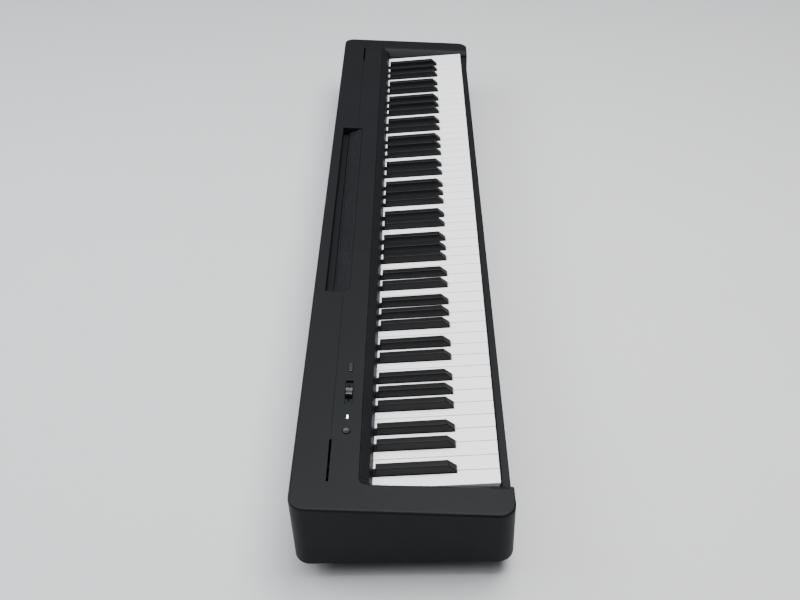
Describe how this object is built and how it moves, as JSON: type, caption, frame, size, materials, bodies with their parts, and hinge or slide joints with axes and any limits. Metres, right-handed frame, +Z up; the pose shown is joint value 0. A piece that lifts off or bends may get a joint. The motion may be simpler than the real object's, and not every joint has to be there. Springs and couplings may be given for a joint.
{
  "type": "digital piano",
  "caption": "Slim slab digital piano with full-size weighted keys, a sloping top panel with a speaker grille, a volume slider, buttons and rear sockets, on rubber feet.",
  "frame": {"origin": "centre of the footprint, at the level of the feet's undersides", "axes": "+X along the keyboard towards the treble end, +Y from the player towards the rear, +Z up"},
  "size_m": [1.326, 0.268, 0.129],
  "materials": {
    "case_plastic": "fine textured, matt",
    "under_plastic": "textured, matt",
    "white_key": "satin",
    "black_key": "matt, fine grain",
    "control_plastic": "satin",
    "lamp": "clear, lit white",
    "grille_metal": "perforated, black coated",
    "rubber": "matt",
    "socket_plastic": "matt",
    "bright_steel": "satin",
    "speaker_steel": "pressed, zinc coated",
    "chassis_plastic": "matt",
    "hammer_plastic": "matt, weighted",
    "felt": "wool felt",
    "circuit_board": "solder mask"
  },
  "bodies": {
    "case": {"upper_case": "case_plastic", "lower_case": "under_plastic", "keyslip": "case_plastic", "fallboard_strip": "case_plastic", "speaker_grille": "grille_metal", "foot_front_left": "rubber", "foot_front_right": "rubber", "foot_rear_left": "rubber", "foot_rear_right": "rubber", "power_lamp": "lamp", "key_frame": "chassis_plastic", "hammer_shaft": "bright_steel", "key_bed_felt": "felt", "hammer_stop_felt": "felt", "contact_board": "circuit_board", "main_board": "circuit_board", "panel_board": "circuit_board", "speaker_left": "speaker_steel", "speaker_right": "speaker_steel", "usb_port": "bright_steel", "headphone_jack": "socket_plastic", "pedal_jack": "socket_plastic", "dc_jack": "socket_plastic"},
    "power_button": {"power_button": "control_plastic"},
    "function_button": {"function_button": "control_plastic"},
    "volume_knob": {"volume_knob": "control_plastic"},
    "bass_naturals": {"bass_naturals": "white_key"},
    "bass_natural_hammers": {"bass_natural_hammers": "hammer_plastic"},
    "bass_sharps": {"bass_sharps": "black_key"},
    "bass_sharp_hammers": {"bass_sharp_hammers": "hammer_plastic"},
    "octave_1_naturals": {"octave_1_naturals": "white_key"},
    "octave_1_natural_hammers": {"octave_1_natural_hammers": "hammer_plastic"},
    "octave_1_sharps": {"octave_1_sharps": "black_key"},
    "octave_1_sharp_hammers": {"octave_1_sharp_hammers": "hammer_plastic"},
    "octave_2_naturals": {"octave_2_naturals": "white_key"},
    "octave_2_natural_hammers": {"octave_2_natural_hammers": "hammer_plastic"},
    "octave_2_sharps": {"octave_2_sharps": "black_key"},
    "octave_2_sharp_hammers": {"octave_2_sharp_hammers": "hammer_plastic"},
    "octave_3_naturals": {"octave_3_naturals": "white_key"},
    "octave_3_natural_hammers": {"octave_3_natural_hammers": "hammer_plastic"},
    "octave_3_sharps": {"octave_3_sharps": "black_key"},
    "octave_3_sharp_hammers": {"octave_3_sharp_hammers": "hammer_plastic"},
    "octave_4_naturals": {"octave_4_naturals": "white_key"},
    "octave_4_natural_hammers": {"octave_4_natural_hammers": "hammer_plastic"},
    "octave_4_sharps": {"octave_4_sharps": "black_key"},
    "octave_4_sharp_hammers": {"octave_4_sharp_hammers": "hammer_plastic"},
    "octave_5_naturals": {"octave_5_naturals": "white_key"},
    "octave_5_natural_hammers": {"octave_5_natural_hammers": "hammer_plastic"},
    "octave_5_sharps": {"octave_5_sharps": "black_key"},
    "octave_5_sharp_hammers": {"octave_5_sharp_hammers": "hammer_plastic"},
    "octave_6_naturals": {"octave_6_naturals": "white_key"},
    "octave_6_natural_hammers": {"octave_6_natural_hammers": "hammer_plastic"},
    "octave_6_sharps": {"octave_6_sharps": "black_key"},
    "octave_6_sharp_hammers": {"octave_6_sharp_hammers": "hammer_plastic"},
    "octave_7_naturals": {"octave_7_naturals": "white_key"},
    "octave_7_natural_hammers": {"octave_7_natural_hammers": "hammer_plastic"},
    "octave_7_sharps": {"octave_7_sharps": "black_key"},
    "octave_7_sharp_hammers": {"octave_7_sharp_hammers": "hammer_plastic"},
    "top_naturals": {"top_naturals": "white_key"},
    "top_natural_hammers": {"top_natural_hammers": "hammer_plastic"}
  },
  "joints": [
    {"name": "power_button_press", "type": "slide", "parent": "case", "child": "power_button", "axis": [0, 0.0691, -0.9976], "range_m": [0, 0.0012], "stiffness_N_per_m": 300, "springref_m": -0.002},
    {"name": "function_button_press", "type": "slide", "parent": "case", "child": "function_button", "axis": [0, 0.0691, -0.9976], "range_m": [0, 0.001], "stiffness_N_per_m": 300, "springref_m": -0.002},
    {"name": "volume_slide", "type": "slide", "parent": "case", "child": "volume_knob", "axis": [1, 0, 0], "range_m": [-0.014, 0.014]},
    {"name": "bass_naturals_press", "type": "hinge", "parent": "case", "child": "bass_naturals", "pos_m": [0, 0.07, 0.093], "axis": [1, 0, 0], "range_deg": [0, 3.05], "stiffness_Nm_per_rad": 0.9, "springref_deg": -20.05},
    {"name": "bass_natural_hammers_swing", "type": "hinge", "parent": "case", "child": "bass_natural_hammers", "pos_m": [0, -0.02, 0.062], "axis": [1, 0, 0], "range_deg": [0, 10.6]},
    {"name": "bass_sharps_press", "type": "hinge", "parent": "case", "child": "bass_sharps", "pos_m": [0, 0.07, 0.093], "axis": [1, 0, 0], "range_deg": [0, 3.3], "stiffness_Nm_per_rad": 0.4, "springref_deg": -20.05},
    {"name": "bass_sharp_hammers_swing", "type": "hinge", "parent": "case", "child": "bass_sharp_hammers", "pos_m": [0, -0.02, 0.062], "axis": [1, 0, 0], "range_deg": [0, 11.4]},
    {"name": "octave_1_naturals_press", "type": "hinge", "parent": "case", "child": "octave_1_naturals", "pos_m": [0, 0.07, 0.093], "axis": [1, 0, 0], "range_deg": [0, 3.05], "stiffness_Nm_per_rad": 3.15, "springref_deg": -20.05},
    {"name": "octave_1_natural_hammers_swing", "type": "hinge", "parent": "case", "child": "octave_1_natural_hammers", "pos_m": [0, -0.02, 0.062], "axis": [1, 0, 0], "range_deg": [0, 10.6]},
    {"name": "octave_1_sharps_press", "type": "hinge", "parent": "case", "child": "octave_1_sharps", "pos_m": [0, 0.07, 0.093], "axis": [1, 0, 0], "range_deg": [0, 3.3], "stiffness_Nm_per_rad": 2, "springref_deg": -20.05},
    {"name": "octave_1_sharp_hammers_swing", "type": "hinge", "parent": "case", "child": "octave_1_sharp_hammers", "pos_m": [0, -0.02, 0.062], "axis": [1, 0, 0], "range_deg": [0, 11.4]},
    {"name": "octave_2_naturals_press", "type": "hinge", "parent": "case", "child": "octave_2_naturals", "pos_m": [0, 0.07, 0.093], "axis": [1, 0, 0], "range_deg": [0, 3.05], "stiffness_Nm_per_rad": 3.15, "springref_deg": -20.05},
    {"name": "octave_2_natural_hammers_swing", "type": "hinge", "parent": "case", "child": "octave_2_natural_hammers", "pos_m": [0, -0.02, 0.062], "axis": [1, 0, 0], "range_deg": [0, 10.6]},
    {"name": "octave_2_sharps_press", "type": "hinge", "parent": "case", "child": "octave_2_sharps", "pos_m": [0, 0.07, 0.093], "axis": [1, 0, 0], "range_deg": [0, 3.3], "stiffness_Nm_per_rad": 2, "springref_deg": -20.05},
    {"name": "octave_2_sharp_hammers_swing", "type": "hinge", "parent": "case", "child": "octave_2_sharp_hammers", "pos_m": [0, -0.02, 0.062], "axis": [1, 0, 0], "range_deg": [0, 11.4]},
    {"name": "octave_3_naturals_press", "type": "hinge", "parent": "case", "child": "octave_3_naturals", "pos_m": [0, 0.07, 0.093], "axis": [1, 0, 0], "range_deg": [0, 3.05], "stiffness_Nm_per_rad": 3.15, "springref_deg": -20.05},
    {"name": "octave_3_natural_hammers_swing", "type": "hinge", "parent": "case", "child": "octave_3_natural_hammers", "pos_m": [0, -0.02, 0.062], "axis": [1, 0, 0], "range_deg": [0, 10.6]},
    {"name": "octave_3_sharps_press", "type": "hinge", "parent": "case", "child": "octave_3_sharps", "pos_m": [0, 0.07, 0.093], "axis": [1, 0, 0], "range_deg": [0, 3.3], "stiffness_Nm_per_rad": 2, "springref_deg": -20.05},
    {"name": "octave_3_sharp_hammers_swing", "type": "hinge", "parent": "case", "child": "octave_3_sharp_hammers", "pos_m": [0, -0.02, 0.062], "axis": [1, 0, 0], "range_deg": [0, 11.4]},
    {"name": "octave_4_naturals_press", "type": "hinge", "parent": "case", "child": "octave_4_naturals", "pos_m": [0, 0.07, 0.093], "axis": [1, 0, 0], "range_deg": [0, 3.05], "stiffness_Nm_per_rad": 3.15, "springref_deg": -20.05},
    {"name": "octave_4_natural_hammers_swing", "type": "hinge", "parent": "case", "child": "octave_4_natural_hammers", "pos_m": [0, -0.02, 0.062], "axis": [1, 0, 0], "range_deg": [0, 10.6]},
    {"name": "octave_4_sharps_press", "type": "hinge", "parent": "case", "child": "octave_4_sharps", "pos_m": [0, 0.07, 0.093], "axis": [1, 0, 0], "range_deg": [0, 3.3], "stiffness_Nm_per_rad": 2, "springref_deg": -20.05},
    {"name": "octave_4_sharp_hammers_swing", "type": "hinge", "parent": "case", "child": "octave_4_sharp_hammers", "pos_m": [0, -0.02, 0.062], "axis": [1, 0, 0], "range_deg": [0, 11.4]},
    {"name": "octave_5_naturals_press", "type": "hinge", "parent": "case", "child": "octave_5_naturals", "pos_m": [0, 0.07, 0.093], "axis": [1, 0, 0], "range_deg": [0, 3.05], "stiffness_Nm_per_rad": 3.15, "springref_deg": -20.05},
    {"name": "octave_5_natural_hammers_swing", "type": "hinge", "parent": "case", "child": "octave_5_natural_hammers", "pos_m": [0, -0.02, 0.062], "axis": [1, 0, 0], "range_deg": [0, 10.6]},
    {"name": "octave_5_sharps_press", "type": "hinge", "parent": "case", "child": "octave_5_sharps", "pos_m": [0, 0.07, 0.093], "axis": [1, 0, 0], "range_deg": [0, 3.3], "stiffness_Nm_per_rad": 2, "springref_deg": -20.05},
    {"name": "octave_5_sharp_hammers_swing", "type": "hinge", "parent": "case", "child": "octave_5_sharp_hammers", "pos_m": [0, -0.02, 0.062], "axis": [1, 0, 0], "range_deg": [0, 11.4]},
    {"name": "octave_6_naturals_press", "type": "hinge", "parent": "case", "child": "octave_6_naturals", "pos_m": [0, 0.07, 0.093], "axis": [1, 0, 0], "range_deg": [0, 3.05], "stiffness_Nm_per_rad": 3.15, "springref_deg": -20.05},
    {"name": "octave_6_natural_hammers_swing", "type": "hinge", "parent": "case", "child": "octave_6_natural_hammers", "pos_m": [0, -0.02, 0.062], "axis": [1, 0, 0], "range_deg": [0, 10.6]},
    {"name": "octave_6_sharps_press", "type": "hinge", "parent": "case", "child": "octave_6_sharps", "pos_m": [0, 0.07, 0.093], "axis": [1, 0, 0], "range_deg": [0, 3.3], "stiffness_Nm_per_rad": 2, "springref_deg": -20.05},
    {"name": "octave_6_sharp_hammers_swing", "type": "hinge", "parent": "case", "child": "octave_6_sharp_hammers", "pos_m": [0, -0.02, 0.062], "axis": [1, 0, 0], "range_deg": [0, 11.4]},
    {"name": "octave_7_naturals_press", "type": "hinge", "parent": "case", "child": "octave_7_naturals", "pos_m": [0, 0.07, 0.093], "axis": [1, 0, 0], "range_deg": [0, 3.05], "stiffness_Nm_per_rad": 3.15, "springref_deg": -20.05},
    {"name": "octave_7_natural_hammers_swing", "type": "hinge", "parent": "case", "child": "octave_7_natural_hammers", "pos_m": [0, -0.02, 0.062], "axis": [1, 0, 0], "range_deg": [0, 10.6]},
    {"name": "octave_7_sharps_press", "type": "hinge", "parent": "case", "child": "octave_7_sharps", "pos_m": [0, 0.07, 0.093], "axis": [1, 0, 0], "range_deg": [0, 3.3], "stiffness_Nm_per_rad": 2, "springref_deg": -20.05},
    {"name": "octave_7_sharp_hammers_swing", "type": "hinge", "parent": "case", "child": "octave_7_sharp_hammers", "pos_m": [0, -0.02, 0.062], "axis": [1, 0, 0], "range_deg": [0, 11.4]},
    {"name": "top_naturals_press", "type": "hinge", "parent": "case", "child": "top_naturals", "pos_m": [0, 0.07, 0.093], "axis": [1, 0, 0], "range_deg": [0, 3.05], "stiffness_Nm_per_rad": 0.45, "springref_deg": -20.05},
    {"name": "top_natural_hammers_swing", "type": "hinge", "parent": "case", "child": "top_natural_hammers", "pos_m": [0, -0.02, 0.062], "axis": [1, 0, 0], "range_deg": [0, 10.6]}
  ],
  "couplings": [
    {"joint": "bass_natural_hammers_swing", "follows": "bass_naturals_press", "ratio": 3.368},
    {"joint": "bass_sharp_hammers_swing", "follows": "bass_sharps_press", "ratio": 3.368},
    {"joint": "octave_1_natural_hammers_swing", "follows": "octave_1_naturals_press", "ratio": 3.368},
    {"joint": "octave_1_sharp_hammers_swing", "follows": "octave_1_sharps_press", "ratio": 3.368},
    {"joint": "octave_2_natural_hammers_swing", "follows": "octave_2_naturals_press", "ratio": 3.368},
    {"joint": "octave_2_sharp_hammers_swing", "follows": "octave_2_sharps_press", "ratio": 3.368},
    {"joint": "octave_3_natural_hammers_swing", "follows": "octave_3_naturals_press", "ratio": 3.368},
    {"joint": "octave_3_sharp_hammers_swing", "follows": "octave_3_sharps_press", "ratio": 3.368},
    {"joint": "octave_4_natural_hammers_swing", "follows": "octave_4_naturals_press", "ratio": 3.368},
    {"joint": "octave_4_sharp_hammers_swing", "follows": "octave_4_sharps_press", "ratio": 3.368},
    {"joint": "octave_5_natural_hammers_swing", "follows": "octave_5_naturals_press", "ratio": 3.368},
    {"joint": "octave_5_sharp_hammers_swing", "follows": "octave_5_sharps_press", "ratio": 3.368},
    {"joint": "octave_6_natural_hammers_swing", "follows": "octave_6_naturals_press", "ratio": 3.368},
    {"joint": "octave_6_sharp_hammers_swing", "follows": "octave_6_sharps_press", "ratio": 3.368},
    {"joint": "octave_7_natural_hammers_swing", "follows": "octave_7_naturals_press", "ratio": 3.368},
    {"joint": "octave_7_sharp_hammers_swing", "follows": "octave_7_sharps_press", "ratio": 3.368},
    {"joint": "top_natural_hammers_swing", "follows": "top_naturals_press", "ratio": 3.368}
  ]
}
